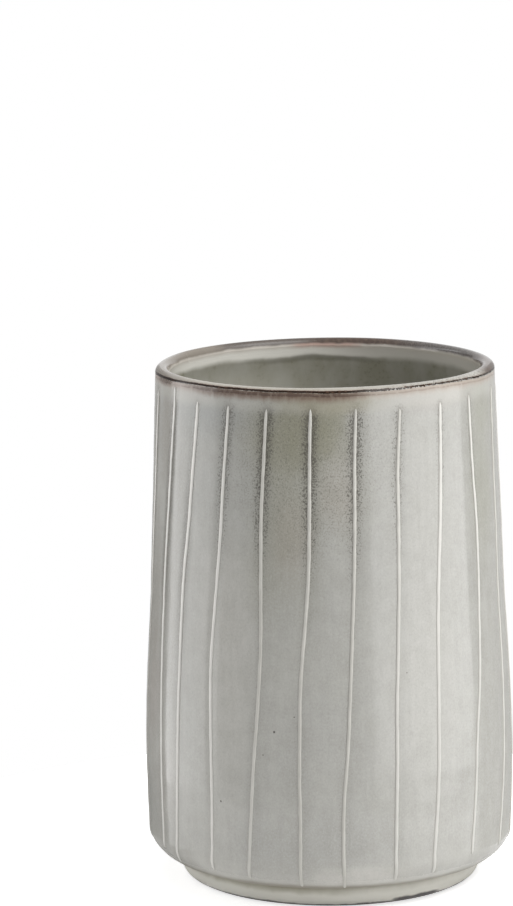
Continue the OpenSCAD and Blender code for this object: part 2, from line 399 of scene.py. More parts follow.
def iron_line_at(bearing):
    """Station of the middle of the outer iron line."""
    drop = around(bearing, 1.3, 1.4, 1.25, 0.45, 0.66, 0.55, 1.2, 1.4, 1.3)
    return station(lip_top - drop - wander(bearing, (0.05, 6, 0.2), (0.03, 17, 1.0), (0.02, 41, 2.0)))


def inner_iron_at(bearing):
    """Station of the middle of the inner iron line."""
    drop = 1.35 + wander(bearing, (0.1, 3, 1.2), (0.05, 11, 0.4), (0.03, 29, 0))
    return station(lip_top - drop, inside=True)


BROWN_HALF = 0.3  # mm, half the width of the brown line inside the lip
top_bearings = bearings_at(np.full((columns, 1), lip_top))[:, 0]
iron_half = 0.2 + wander(top_bearings, (0.04, 9, 0.5), (0.03, 23, 1.4))
iron_below = iron_line_at(top_bearings) - iron_half
iron_above = iron_line_at(top_bearings) + iron_half
inner_above = inner_iron_at(top_bearings) - BROWN_HALF
inner_below = inner_iron_at(top_bearings) + BROWN_HALF
foot_start = float(np.interp(bare_top, profile[:200, 1], along[:200]))
relief_end = float(iron_below.min())
print("outer iron line from", round(relief_end, 2), "crest", round(crest, 2))

# %% [markdown]
# ## The coats from the foot up to the inner lip
#
# A potter dips the cup and wipes its edges; here the coats are fired one after the other, from
# one border to the next. Only the tall outside coat carries the relief of throwing marks and of
# glaze that sank beside the lines. The narrow ones over the lip stay true, so that their edges
# meet face to face.

# %% Fire the coats
# Name, from, to, rows of the outer and inner face, material slot and the solid it stands for
outside = shell(
    "outside_glaze", foot_start, iron_below, 190, 30, "outer_glaze", "outer_glaze", relieved=True
)
iron = shell("iron_edge_outside", iron_below, iron_above, 6, 3, "iron_outer", "iron_line_outer")
lip = shell("lip_glaze_coat", iron_above, inner_above, 26, 8, "lip_glaze", "lip_glaze")
inner_iron = shell("iron_edge_inside", inner_above, inner_below, 6, 3, "iron_inner", "iron_line_inner")
for piece in (outside, iron, lip, inner_iron):
    print(piece.name, len(piece.data.polygons), "faces")

# %% [markdown]
# ## The coat of the hollow
#
# The inside is glazed by pouring glaze in and out again, so one coat runs from the inner lip
# down the wall and over the floor. A turned shell would leave a heap of points at the middle of
# the floor. This one joins its columns in one shared point there, on each of its two faces.

# %% Winding faces round the axis
def wind(name, points, index, slot, node):
    """A piece from one row of point numbers per column. A number that all rows share is on the axis."""
    loop = index.shape[1]
    on_axis = (index == index[0]).all(0)
    faces = []
    for c in range(columns):
        for k in range(loop):
            c2, k2 = (c + 1) % columns, (k + 1) % loop
            if not (on_axis[k] and on_axis[k2]):
                corners = (index[c, k], index[c2, k], index[c2, k2], index[c, k2])
                faces.append(list(dict.fromkeys(map(int, corners))))
    used = np.unique(np.concatenate(faces))
    renumber = {int(v): n for n, v in enumerate(used)}
    faces = [[renumber[v] for v in face] for face in faces]
    return new_piece(name, hand(points[used]), faces, slot, node), used


# %% The glaze of the hollow, with its floor
RING_RELIEF = 0.04  # mm, the faint throwing rings on the inside


def hollow():
    """The coat of the inside: like a shell, but it closes over the floor's middle."""
    rows, inner_rows = 150, 24
    first = inner_below[:, None]
    outer, inner = (first + (along[-1] - first) * np.linspace(0, 1, n)[None, :] for n in (rows, inner_rows))
    s = np.hstack([outer, inner[:, ::-1]])
    bearing = bearings_at(at(s)[1])
    out = RING_RELIEF * np.sin(s * 1.1) * smoothstep(crest + 12, crest + 30, s)
    out[:, rows:] = -GLAZE
    out[:, rows - 1] = 0
    index = np.arange(s.size).reshape(s.shape)
    index[:, rows - 1], index[:, rows] = s.size, s.size + 1  # one shared point on each face
    middles = [[0, 0, floor_top], [0, 0, floor_top - GLAZE]]
    points = np.vstack([placed(s, out, bearing).reshape(-1, 3), middles])
    piece, used = wind("hollow_glaze", points, index, "inner_glaze", "inner_glaze")
    below = (s - inner_iron_at(bearing)).ravel()
    keep(piece, "near_line", np.full(len(used), FAR))
    keep(piece, "below_outer_iron", np.full(len(used), -FAR))
    keep(piece, "below_inner_iron", np.r_[below, below[-2:]][used])
    ends = used[edge_ends(piece)]
    a, b = (ends % s.shape[1]).T
    crease(piece, (ends < s.size).all(1) & (a == b) & np.isin(a, [0, s.shape[1] - 1]))
    return piece


inside = hollow()
print(inside.name, len(inside.data.polygons), "faces")

# %% [markdown]
# ## The clay under the glaze, and the foot that it stands on
#
# Under its coats the cup is one solid of fired clay. It shows only as a narrow bare ring under
# the foot, wiped clean before firing so that the cup doesn't stick to the kiln shelf. Inside
# the foot ring is a shallow recess with a coat of glaze of its own. A screw modifier could turn
# both sections; turning them in code keeps their columns in line with those of the coats.

# %% The clay body and the glazed recess
recess_r, recess_top = 26.6, 2.4
bare_inner = 27.9
AIR = 0.04  # mm between the clay and the coats, so that no two faces lie in one place
RECESS_GLAZE = 0.42  # mm, how thick the coat of the recess is


def turned(name, section, slot, node):
    """Turns a closed section, in mm, once round the axis. Points on the axis are shared."""
    section = np.array(section, float)
    z = np.broadcast_to(section[:, 1], (columns, len(section)))
    radius = np.broadcast_to(section[:, 0], z.shape)
    bearing = bearings_at(np.clip(z, bare_top, lip_top))
    points = np.stack([radius * np.sin(bearing), -radius * np.cos(bearing), z], -1).reshape(-1, 3)
    index = np.arange(z.size).reshape(z.shape)
    axis = section[:, 0] < 1e-6
    index[:, axis] = index[0, axis]
    return wind(name, points, index, slot, node)[0]


def clay_section():
    """From the recess's middle out over the bare ring, up under the coats and back down inside."""
    s = np.r_[
        np.linspace(foot_start, station(12.0), 16), np.linspace(station(14.0), crest - 2.4, 30),
        np.linspace(crest - 2, crest + 2, 8), np.linspace(crest + 3, along[-1] - 30, 30), along[-1],
    ]
    r, z, nr, nz = at(s)
    covered = np.column_stack([r - nr * (GLAZE + AIR), z - nz * (GLAZE + AIR)])
    covered[-1, 0] = 0
    edge = [at(s_)[:2] for s_ in np.linspace(0, foot_start, 4)]
    under = [
        (0, recess_top + GLAZE), (recess_r - 0.6, recess_top + GLAZE), (recess_r + GLAZE, recess_top - 0.9),
        (recess_r + GLAZE, bare_top), (recess_r + 0.06, bare_top),
    ]
    inner_round = arc((bare_inner, 1.0), (1.0, 1.0), 210, 270, step=0.2)
    return under + inner_round.tolist() + edge + covered.tolist()


clay = turned("clay_body_bare_foot", clay_section(), "bare_clay", "clay_body")
recess_outer = arc((recess_r - 1.2, recess_top - 1.2), (1.2, 1.2), 0, 90, step=0.15)
coat_top = recess_top + RECESS_GLAZE
recess_section = [
    (recess_r, bare_top), *recess_outer.tolist(), (18, recess_top), (8, recess_top), (0, recess_top),
    (0, coat_top), (8, coat_top), (18, coat_top), (recess_r - 1, coat_top),
    (recess_r + RECESS_GLAZE, recess_top - 0.9), (recess_r + RECESS_GLAZE, bare_top),
]
recess = turned("recess_glaze", recess_section[::-1], "base_glaze", "base_glaze")
for piece in (clay, recess):
    print(piece.name, len(piece.data.polygons), "faces")

# %% [markdown]
# ## The slip lines
#
# Each line is thick slip, squeezed from a trailer's nozzle: a low rounded bead that swells and
# thins with the hand, with a pointed end where the nozzle lifts off. A curve with a bevel would
# be round and would float on the wall. So the bead's own section is swept along the measured
# course, square to the surface, and its skirts run in under the glaze.

# %% Trail the beads
# Half widths in mm, of the lines that are plainly wider or thinner than the rest
WIDTHS = {
    "slip_line_01": 0.46, "slip_line_02": 0.5, "slip_line_03": 0.42, "slip_line_04": 0.39,
    "slip_line_05": 0.38, "slip_line_06": 0.41, "slip_line_08": 0.45,
}
USUAL_WIDTH = 0.43
BEAD_STATIONS = 190
PROUD = 0.2  # mm that a bead stands out
SUNK_UNDER = 0.25  # mm that its closed underside lies under the face of the glaze
# Places across a bead, where 1 is its edge; beyond it the skirt goes under the glaze
ACROSS = np.array([-1.3, -1.1, -0.92, -0.72, -0.48, -0.24, 0, 0.24, 0.48, 0.72, 0.92, 1.1, 1.3])


def bead(course, number):
    """One trailed line, as a closed tube of stations along the course."""
    low, high = course["z"][0], course["z"][-1]
    share = np.linspace(0, 1, BEAD_STATIONS)
    share = share - 0.8 * np.sin(2 * np.pi * share) / (2 * np.pi)  # closer together near the tips
    s = station(low) + (station(high) - station(low)) * share
    r, z = at(s)[:2]
    middle = np.interp(z, course["z"], course["bearing"])
    middle = middle + wander(s, (0.0006, 0.35, number), (0.0004, 1.1, 2.1 * number))
    full = WIDTHS.get(course["name"], USUAL_WIDTH) + 0.02 * math.sin(1.9 * number)
    full = full - 0.05 * smoothstep(82, 106, z)
    # Both ends narrow, the upper one to a longer point
    tips = np.clip((z[-1] - z) / 0.9, 0.02, 1) ** 0.5 * np.clip((s - s[0]) / 0.7, 0.02, 1) ** 0.5
    tips = tips * (0.82 + 0.18 * smoothstep(0, 4, z[-1] - z)) * (0.85 + 0.15 * smoothstep(0, 2.5, s - s[0]))
    half = full * tips * (1 + wander(s, (0.05, 0.7, number * 1.7), (0.04, 2.3, number * 0.9)))
    rise = PROUD * np.clip(half / 0.4, 0, 1) ** 0.7
    # Across the bead: a rounded back from edge to edge, and skirts that go under outside of it
    bump = np.clip(1 - np.abs(ACROSS) ** 2.4, 0, None) ** 0.8
    skirt = -0.5 * np.clip(np.abs(ACROSS) - 0.95, 0, None)
    bearing = middle[:, None] + ACROSS[None, :] * half[:, None] / r[:, None]
    base = relief(s, middle, np.zeros(len(s)))[:, None]
    out = base + 0.02 + bump * rise[:, None] + skirt * half[:, None] * 2
    out = np.hstack([out, base - SUNK_UNDER, base - SUNK_UNDER])
    bearing = np.hstack([bearing, bearing[:, [9]], bearing[:, [3]]])
    points = placed(s[:, None], out, bearing)
    n, loop = bearing.shape
    i, k = np.meshgrid(np.arange(n - 1), np.arange(loop), indexing="ij")
    k2 = (k + 1) % loop
    faces = np.stack([i * loop + k, i * loop + k2, (i + 1) * loop + k2, (i + 1) * loop + k], -1)
    faces = faces.reshape(-1, 4).tolist()
    faces += [list(range(loop))[::-1], list(range((n - 1) * loop, n * loop))]
    piece = new_piece(f"{course['name']}_bead", hand(points.reshape(-1, 3)), faces, "slip", course["name"])
    keep(piece, "on_bead", np.tile(np.r_[bump, 0, 0], n))
    return piece


beads = [bead(course, n) for n, course in enumerate(slip_lines)]
print("beads:", len(beads), "with", sum(len(b.data.polygons) for b in beads), "faces")

# %% [markdown]
# ## Camera
#
# A long lens stands a little above the lip and looks down by ten degrees. A camera could be
# aimed by a constraint, but three angles and a place say exactly where it looks. The numbers
# come from fitting the outline of a cup of this size.

# %% Set up the camera
picture_height = 906
focal_px = 4227.8
camera_data = bpy.data.cameras.new("camera")
camera_data.sensor_width = 36
camera_data.lens = focal_px * camera_data.sensor_width / picture_height
camera = new_object("camera", camera_data)
bpy.context.scene.camera = camera
pitch, yaw, roll = math.radians(10.173), math.radians(-0.976), math.radians(-0.353)
forward = Vector((math.sin(yaw) * math.cos(pitch), math.cos(yaw) * math.cos(pitch), -math.sin(pitch)))
right = Vector((math.cos(yaw), -math.sin(yaw), 0))
up = right.cross(forward)
across = math.cos(roll) * right + math.sin(roll) * up
upward = math.cos(roll) * up - math.sin(roll) * right
standpoint = Vector((-0.0001, -0.89994, 0.25413))
aim = Matrix((across, upward, -forward)).transposed().to_4x4()
camera.matrix_world = Matrix.Translation(standpoint) @ aim
print("lens:", round(camera_data.lens, 1), "mm")

# %% [markdown]
# ## Floor, backdrop and daylight
#
# Pale pots are shown on a white sweep. More light would make any paper white, but it would
# bleach the cup as well. Here the floor is pale paper that takes a real shadow, and only to the
# eye and in the gloss of the glaze does it show as white. The lamps stay at a plain level, so
# that the glaze keeps its own colour.

# %% Nodes in one call
scene = bpy.context.scene
scene.view_settings.view_transform = "Standard"


def add(tree, kind, *values, **settings):
    """Adds a node. Values fill its sockets in order: a number, a colour, a socket, or None to skip."""
    node = tree.nodes.new("ShaderNode" + kind)
    for name, value in settings.items():
        setattr(node, name, value)
    for socket, value in zip(node.inputs, values):
        plug(tree, socket, value)
    return node


def plug(tree, socket, value):
    """Fills one socket with a number, a colour or the output of another node."""
    if isinstance(value, bpy.types.NodeSocket):
        tree.links.new(value, socket)
    elif value is not None:
        wide = hasattr(socket.default_value, "__len__") and len(socket.default_value) == 4
        socket.default_value = (*value, 1) if wide and len(value) == 3 else value


def maths(tree, operation, *values):
    """One step of arithmetic."""
    return add(tree, "Math", *values, operation=operation).outputs[0]


def seen(tree):
    """1 where the surface is seen, straight, in gloss or through glass, and 0 for plain light."""
    path = add(tree, "LightPath").outputs
    either = maths(tree, "MAXIMUM", path["Is Camera Ray"], path["Is Glossy Ray"])
    return maths(tree, "MAXIMUM", either, path["Is Transmission Ray"])


# %% The sweep: floor and world
def blank(name):
    """A material with only an output node."""
    material = bpy.data.materials.new(name)
    material.use_nodes = True
    material.node_tree.nodes.clear()
    return material, material.node_tree, material.node_tree.nodes.new("ShaderNodeOutputMaterial").inputs[0]


def floor_paper():
    """White paper that takes the cup's shadow and glows to the eye, less so close to the cup."""
    material, tree, surface = blank("white floor paper")
    paper = add(tree, "BsdfDiffuse", (0.8, 0.8, 0.8)).outputs[0]
    place = add(tree, "TexCoord").outputs["Object"]
    away = add(tree, "VectorMath", place, operation="LENGTH").outputs["Value"]
    glow = add(tree, "MapRange", away, 0.045, 0.1, 0.68, 1.0, interpolation_type="SMOOTHSTEP").outputs[0]
    shown = add(tree, "AddShader", paper, add(tree, "Emission", (1, 1, 1), glow).outputs[0]).outputs[0]
    plug(tree, surface, add(tree, "MixShader", seen(tree), paper, shown).outputs[0])
    return material


FLOOR_RADIUS = 0.11  # metres; the world beyond it looks just as white
floor_mesh = bpy.data.meshes.new("floor")
turns = np.linspace(0, 2 * math.pi, 96, endpoint=False)
rim = [(FLOOR_RADIUS * math.cos(a), FLOOR_RADIUS * math.sin(a), 0) for a in turns]
floor_mesh.from_pydata(rim, [], [range(len(rim))])
ground = new_object("floor", floor_mesh)
ground.data.materials.append(floor_paper())

FILL = 0.515  # how strongly the white room lights the cup; it is seen at strength 1
world = bpy.data.worlds.new("studio")
scene.world = world
world.use_nodes = True
sky = world.node_tree
background = sky.nodes["Background"]
background.inputs["Color"].default_value = (1, 1, 1, 1)
plug(sky, background.inputs["Strength"], add(sky, "MapRange", seen(sky), 0, 1, FILL, 1.0).outputs[0])
print("floor radius:", FLOOR_RADIUS, "m, the white room's light:", FILL)

# %% [markdown]
# ## Softboxes
#
# Pale pots are lit by large soft lamps. Here a low wide one on the right draws the long soft
# light down that side, a weaker one fills the left, and a small high one lights the lip and the
# upper wall. Area lamps do this with few settings and soft shadows.

# %% Softboxes
LAMP_DISTANCE = 0.8  # metres
LAMP_AIM = Vector((0, 0, 0.06))  # the middle of the cup


def softbox(name, bearing, elevation, size, watts):
    """A rectangular area lamp that faces the cup; bearings run from the front to the right."""
    lamp = bpy.data.lights.new(name, "AREA")
    lamp.shape = "RECTANGLE"
    lamp.size, lamp.size_y = size
    lamp.energy = watts
    lamp_object = new_object(name, lamp)
    b, e = math.radians(bearing), math.radians(elevation)
    away = Vector((math.sin(b) * math.cos(e), -math.cos(b) * math.cos(e), math.sin(e)))
    lamp_object.location = LAMP_AIM + away * LAMP_DISTANCE
    lamp_object.rotation_mode = "QUATERNION"
    lamp_object.rotation_quaternion = away.to_track_quat("Z", "Y")
    lamp_object.visible_camera = False


KEY_WATTS = 1.6
LEFT_WATTS = 3.5
HIGH_WATTS = 6.5
softbox("key softbox", 66.5, -8.5, (1.23, 0.22), KEY_WATTS)
softbox("left softbox", -103, 4, (0.76, 0.9), LEFT_WATTS)
softbox("high softbox", 60, 55, (0.4, 0.4), HIGH_WATTS)
print("softboxes:", KEY_WATTS, LEFT_WATTS, HIGH_WATTS, "watts")

# %% [markdown]
# ## Cards for the gloss
#
# In a white room a glossy pot loses its edges against the white. Paint that is darker at the
# edges would be wrong from every other side. Grey cards beside the cup are what a studio uses:
# the glaze mirrors something darker there. These are seen only in the gloss: two lean outwards,
# and two lie on the floor beside the foot.

# %% Grey cards for the gloss
CARD_FOOT = 0.3  # mm above the floor
CARD_TOP = 160


def card(name, low_front, low_back, high_front, high_back, low_grey, high_grey, top=CARD_TOP):
    """A grey card seen only in the gloss, with its far edge up at top. Places are in mm."""
    feet = [(*low_front, CARD_FOOT), (*low_back, CARD_FOOT)]
    corners = feet + [(*high_back, top), (*high_front, top)]
    mesh = bpy.data.meshes.new(name)
    mesh.from_pydata((np.array(corners) * MM).tolist(), [], [(0, 1, 2), (0, 2, 3)])
    standing = new_object(name, mesh)
    material, tree, surface = blank(name)
    up = add(tree, "SeparateXYZ", add(tree, "TexCoord").outputs["Object"]).outputs[2]
    grey = add(tree, "MapRange", up, 0.01, 0.1, low_grey, high_grey).outputs[0]
    plug(tree, surface, add(tree, "BsdfDiffuse", grey).outputs[0])
    mesh.materials.append(material)
    for ray in ("visible_camera", "visible_diffuse", "visible_shadow", "visible_transmission"):
        setattr(standing, ray, False)


card("left card", (-56, -2), (-40, 45), (-112, 39), (-60, 150), 0.5, 0.32)
card("right card", (55, -17.6), (42, 42), (127, 0.5), (60, 150), 0.95, 0.6)
card("left floor card", (-28, -22), (-20, 36), (-62, -20), (-35, 62), 0.82, 0.82, top=CARD_FOOT)
card("right floor card", (28, -22), (20, 36), (52, -20), (40, 62), 0.82, 0.82, top=CARD_FOOT)

# %% [markdown]
# ## The reactive glaze
#
# A reactive glaze is never one colour: iron in it breaks to olive where it lies thick, to blue
# grey and pink where the fire licked it, and to speckles beside the slip. A picture could carry
# that, but it would smear on the curved wall. Here the colour is worked out from the place of
# each point on the pot, in millimetres, so all coats share one group of nodes and no seam
# shows where two coats meet.

# %% Tones and small node helpers
def tone(red, green, blue):
    """A colour written in steps of 0 to 255, turned into the plain light values of nodes."""
    return tuple(((v / 255 + 0.055) / 1.055) ** 2.4 for v in (red, green, blue))


def fade(tree, value, low, high, start=0.0, end=1.0):
    """Goes smoothly from start, at low, to end, at high."""
    return add(tree, "MapRange", value, low, high, start, end, interpolation_type="SMOOTHSTEP").outputs[0]


def lumps(tree, place, grain, detail=2, drawn_out=1.0, seed=0.0):
    """Noise from 0 to 1 with lumps about grain mm wide, drawn out that many times down the pot."""
    moved = add(tree, "Mapping", place, (seed, seed, seed), None, (1, 1, 1 / drawn_out)).outputs[0]
    return add(tree, "TexNoise", moved, None, 1 / grain, detail, 0.55).outputs[0]


def lay(tree, share, under, over):
    """Lays one colour over another."""
    node = add(tree, "Mix", share, data_type="RGBA")
    plug(tree, node.inputs[6], under)
    plug(tree, node.inputs[7], over)
    return node.outputs[2]


def towards(tree, place, bearing):
    """How far in mm a point lies towards a bearing, measured from the axis."""
    way = (math.sin(math.radians(bearing)), -math.cos(math.radians(bearing)), 0)
    return add(tree, "VectorMath", place, way, operation="DOT_PRODUCT").outputs["Value"]


GREY = tone(170, 169, 164)
OLIVE = tone(134, 132, 112)
SLATE = tone(154, 156, 154)
PAINTED_HIGHLIGHT = tone(188, 186, 180)
PINK = tone(172, 164, 158)
UMBER = tone(142, 135, 126)
SAGE = tone(160, 160, 147)
IRON = tone(34, 22, 13)
RUST = tone(80, 60, 47)

# %% [markdown]
# ## Clouds in the glaze
#
# The glaze pools olive under the lip and turns to slate and pink on the left. Some spots are
# painted light and shade instead: pale painted highlights where the softboxes' reflections fall
# on the front left and on the right, a pale band of painted light low in front, and darker painted
# shade low in front and beside the left highlight. Noise alone would put such clouds anywhere. So
# each is a soft spot of its own: a place on the wall, a size, a strength and a shade, with its edge
# made ragged by noise.

# %% Clouds and specks, each at its place on the wall
# Bearing in degrees, height, half width and half height in mm, strength and shade
# Painted light among these: the pale spots at -37, -31, 33 and 36 degrees are painted highlights, the pale
# one at 9 degrees and 8.6 mm is painted light from below, and the darker ones at -6 degrees, 12 mm and at
# -58 degrees, 74 mm are painted shade
CLOUDS_AND_PAINTED_LIGHT = [
    (-14, 104, 13, 12, 0.85, OLIVE), (-2, 103, 8, 11, 0.65, OLIVE), (-13, 90, 11, 14, 0.5, OLIVE),
    (8, 92, 6, 14, 0.15, OLIVE), (-20, 76, 7, 14, 0.35, OLIVE), (-7, 74, 5, 12, 0.2, OLIVE),
    (-11, 81, 5, 12, 0.24, tone(172, 162, 152)), (4, 91, 5, 10, 0.28, tone(172, 163, 153)),
    (-40, 107, 14, 8, 0.7, SLATE), (-32, 88, 10, 16, 0.45, SLATE), (-13, 60, 9, 14, 0.1, SAGE),
    (-78, 72, 7, 40, 0.4, UMBER), (-74, 42, 6, 18, 0.4, PINK), (-60, 26, 6, 12, 0.2, PINK),
    (-37, 62, 7, 50, 0.35, PAINTED_HIGHLIGHT), (-31, 62, 8, 52, 0.48, PAINTED_HIGHLIGHT), (-58, 74, 6, 46, 0.4, tone(146, 143, 137)),
    (62, 88, 6, 20, 0.5, SAGE), (66, 105, 8, 6, 0.5, SAGE), (-66, 100, 4, 14, 0.4, UMBER),
    (-71, 111.4, 7, 1.6, 0.7, tone(84, 74, 62)),
    (40, 109, 12, 3, 0.4, PINK), (-48, 110, 10, 2.5, 0.5, PINK), (33, 50, 12, 34, 0.35, PAINTED_HIGHLIGHT),
    (36, 86, 10, 26, 0.2, PAINTED_HIGHLIGHT), (-6, 12, 22, 13, 0.5, tone(146, 145, 140)),
    (9, 8.6, 13, 2.6, 0.4, tone(216, 213, 207)),
    (120, 95, 16, 14, 0.7, OLIVE), (165, 75, 12, 20, 0.5, SLATE), (-150, 100, 15, 12, 0.7, OLIVE),
    (-120, 60, 12, 24, 0.4, PINK), (140, 40, 16, 16, 0.4, SAGE), (-160, 45, 14, 18, 0.3, UMBER),
]
# Bearing, height, half width and half height
SPECKS = [
    (-16.8, 40.0, 0.3, 0.35), (-10.5, 43.4, 0.18, 0.2), (-20.4, 34.9, 0.15, 0.2), (-35.1, 23.7, 0.25, 0.3),
    (-81.5, 60.6, 1.3, 1.2), (25, 52, 0.15, 0.2), (112, 66, 0.3, 0.3), (158, 31, 0.25, 0.3),
    (-142, 84, 0.3, 0.4),
]

# %% [markdown]
# ## One group for every coat
#
# Every coat has its own material, but the colour has to run on from one coat to the next. All of
# the materials therefore use this one group of nodes, which reads the place of a point on the
# pot and the measures kept on the mesh, and gives out a colour, a roughness and a fine relief.

# %% What the group reads
def in_millimetres(tree):
    """Each point's place on the pot, in millimetres."""
    metres = add(tree, "TexCoord").outputs["Object"]
    return add(tree, "VectorMath", metres, (1000, 1000, 1000), operation="MULTIPLY").outputs[0]


glaze = bpy.data.node_groups.new("reactive glaze", "ShaderNodeTree")
for name, kind in {"Colour": "Color", "Roughness": "Float", "Height": "Float"}.items():
    glaze.interface.new_socket(name=name, in_out="OUTPUT", socket_type="NodeSocket" + kind)
place = in_millimetres(glaze)
height_up = add(glaze, "SeparateXYZ", place).outputs[2]
near_line, below_iron, inside_iron = (
    add(glaze, "Attribute", attribute_name=name).outputs["Fac"]
    for name in ("near_line", "below_outer_iron", "below_inner_iron")
)
cloudy = lumps(glaze, place, 9, 4, 1.6)
streaky = lumps(glaze, place, 1.1, 3, 12, seed=3)
grainy = lumps(glaze, place, 0.34, 2, 1.3, seed=7)
blotchy = lumps(glaze, place, 0.9, 3, 1, seed=5)
slow = lumps(glaze, place, 3.5, 2, 1, seed=9)
broad = lumps(glaze, place, 14, 1, 1, seed=13)


# %% Short words for the group's own nodes
def ease(value, low, high, start=0.0, end=1.0):
    """A fade in the shared group."""
    return fade(glaze, value, low, high, start, end)


def mixed(share, under, over):
    """One colour laid over another in the shared group."""
    return lay(glaze, share, under, over)


def facing(bearing, low, high, start=0.0, end=1.0):
    """A fade towards one side of the cup, between two distances from the axis in mm."""
    return ease(towards(glaze, place, bearing), low, high, start, end)


def spot(bearing, height, wide, tall):
    """Distance from a spot on the wall: 0 in its middle and 1 at its edge."""
    radius = float(at(station(height))[0])
    b = math.radians(bearing)
    centre = hand(np.array([[radius * math.sin(b), -radius * math.cos(b), height]]))[0]
    moved = add(glaze, "VectorMath", place, tuple(centre), operation="SUBTRACT").outputs[0]
    scaled = add(glaze, "VectorMath", moved, (1 / wide, 1 / wide, 1 / tall), operation="MULTIPLY").outputs[0]
    return add(glaze, "VectorMath", scaled, operation="LENGTH").outputs["Value"]


def off(value, level):
    """How far a measure is from a level, either way."""
    return maths(glaze, "ABSOLUTE", maths(glaze, "SUBTRACT", value, level))


def swayed(value, sway, reach):
    """Moves a measure to and fro, by up to about half of reach, with a noise."""
    return maths(glaze, "MULTIPLY_ADD", maths(glaze, "SUBTRACT", sway, 0.5), reach, value)


def both(*shares):
    """The product of shares."""
    product = shares[0]
    for share in shares[1:]:
        product = maths(glaze, "MULTIPLY", product, share)
    return product


# %% The grey ground and its clouds
layers = [mixed(ease(cloudy, 0.35, 0.68, 0, 0.5), GREY, tone(177, 176, 170))]


def paint(share, shade):
    """Lays a shade over the newest layer, as strongly as share says."""
    layers.append(mixed(share, layers[-1], shade))


for bearing, height, wide, tall, strength, shade in CLOUDS_AND_PAINTED_LIGHT:
    ragged = swayed(spot(bearing, height, wide, tall), cloudy, 0.9)
    paint(ease(ragged, 0.2, 1.25, strength, 0), shade)
print("clouds:", len(CLOUDS_AND_PAINTED_LIGHT), "specks:", len(SPECKS))

# %% [markdown]
# ## Mottling and grain
#
# Close up, no patch of the glaze is even: there are soft blots some millimetres wide, streaks
# drawn down by the running glaze, and a fine grain of pale and dark dots. Three noises of
# different size and stretch, each laid on thinly, give all of that without a picture.

# %% Mottling, streaks and grain
paint(ease(slow, 0.35, 0.7, 0, 0.14), tone(136, 134, 124))
paint(ease(streaky, 0.3, 0.7, 0, 0.08), tone(118, 116, 108))
paint(ease(grainy, 0.5, 0.75, 0, 0.13), tone(212, 210, 204))
paint(ease(grainy, 0.5, 0.28, 0, 0.13), tone(112, 110, 102))
print("layers so far:", len(layers))

# %% [markdown]
# ## Speckles and dark edges beside the slip
#
# Glaze runs off the raised slip and gathers beside it, so it turns darker there and peppers with
# iron, most of all high up where it lay thickest. Near the left silhouette the dark beside the
# lines is painted shadow of the raised lines. The distance to the nearest line was kept on the
# mesh for this; a painted mask could do it too, but not so closely.

# %% Speckles and dark edges beside the slip
high_up = ease(height_up, 66, 104, 0.1, 1)
olive_side = facing(-10, 28.5, 37.5, 0.2, 1)
beside = both(ease(near_line, 0.5, 2.4, 1, 0), high_up, olive_side)
peppery = lumps(glaze, place, 0.3, 2, 1.2, seed=17)
speckled = ease(maths(glaze, "MULTIPLY_ADD", beside, 0.22, peppery), 0.56, 0.76)
speckled = both(speckled, ease(beside, 0, 0.3))
edge_dark = both(ease(near_line, 0.45, 1.1, 0.3, 0), ease(height_up, 60, 100, 0.2, 1))
soft_dark = both(ease(near_line, 0.6, 3.2, 0.14, 0), ease(height_up, 60, 100, 0.4, 1), olive_side)
paint(maths(glaze, "MAXIMUM", edge_dark, soft_dark), tone(104, 101, 92))
paint(both(beside, 0.2), tone(96, 93, 84))
# Painted shadow: near the left silhouette the raised lines get dark shade beside them, broken up by the
# pepper noise and fading lower down
left_line_shadow = both(ease(near_line, 0.7, 2.6, 0.8, 0), facing(-72, 34.2, 36.2))
left_line_shadow = both(left_line_shadow, ease(height_up, 46, 88, 0.15, 1), ease(peppery, 0.35, 0.6, 0.55, 1))
paint(left_line_shadow, tone(84, 80, 73))
gritty = both(ease(peppery, 0.5, 0.68), ease(spot(-6, 100, 20, 26), 0.4, 1.2, 0.4, 0))
paint(gritty, tone(84, 82, 70))
paint(both(speckled, 0.7), tone(62, 58, 50))
for bearing, height, wide, tall in SPECKS:
    paint(ease(spot(bearing, height, wide, tall), 0.6, 1, 0.8, 0), IRON)
print("layers so far:", len(layers))

# %% [markdown]
# ## The pale foot
#
# The foot is dipped less deeply and stays pale; part of that paleness low on the wall is painted
# light, as from the white floor below. The crease where it meets the shoulder and the top of the
# foot ring get painted shade, and the front of its bottom edge a broken painted contact shadow.
# Height alone draws all three. Noise moves the height to and fro first, so that no border is level.

# %% The pale foot
# Paler towards the bottom: partly a thinner coat, and partly painted light from the floor below
low_down = ease(swayed(height_up, cloudy, 5), 5, 15, 0.2, 0)
paint(low_down, tone(200, 197, 188))
on_foot = ease(height_up, 4.6, 5.3, 1, 0)
foot_tone_and_shade = mixed(facing(50, 14, 30), tone(174, 171, 156), tone(200, 198, 188))
# Painted shade: the top of the foot ring, under the shoulder, keeps the darker tone, and only its lower part
# turns pale
foot_tone_and_shade = mixed(ease(swayed(height_up, slow, 1.0), 2.6, 4.0, 1, 0), foot_tone_and_shade, tone(222, 220, 211))
paint(on_foot, foot_tone_and_shade)
# Painted shade in the crease under the shoulder
crease_shade = ease(off(swayed(height_up, slow, 0.5), 5.3), 0.4, 1.7, 0.85, 0)
paint(crease_shade, tone(118, 112, 98))
# Painted contact shadow: a broken dark band along the bottom edge of the foot, on the front side only
rim_height = maths(glaze, "ADD", swayed(height_up, slow, 1.2), facing(35, 31.3, 32.2, 0, -0.7))
contact_shadow = ease(rim_height, 0.5, 1.1, 0.95, 0)
outer_side = facing(5, -20, 8)
paint(both(contact_shadow, outer_side), tone(52, 47, 47))
print("layers so far:", len(layers))

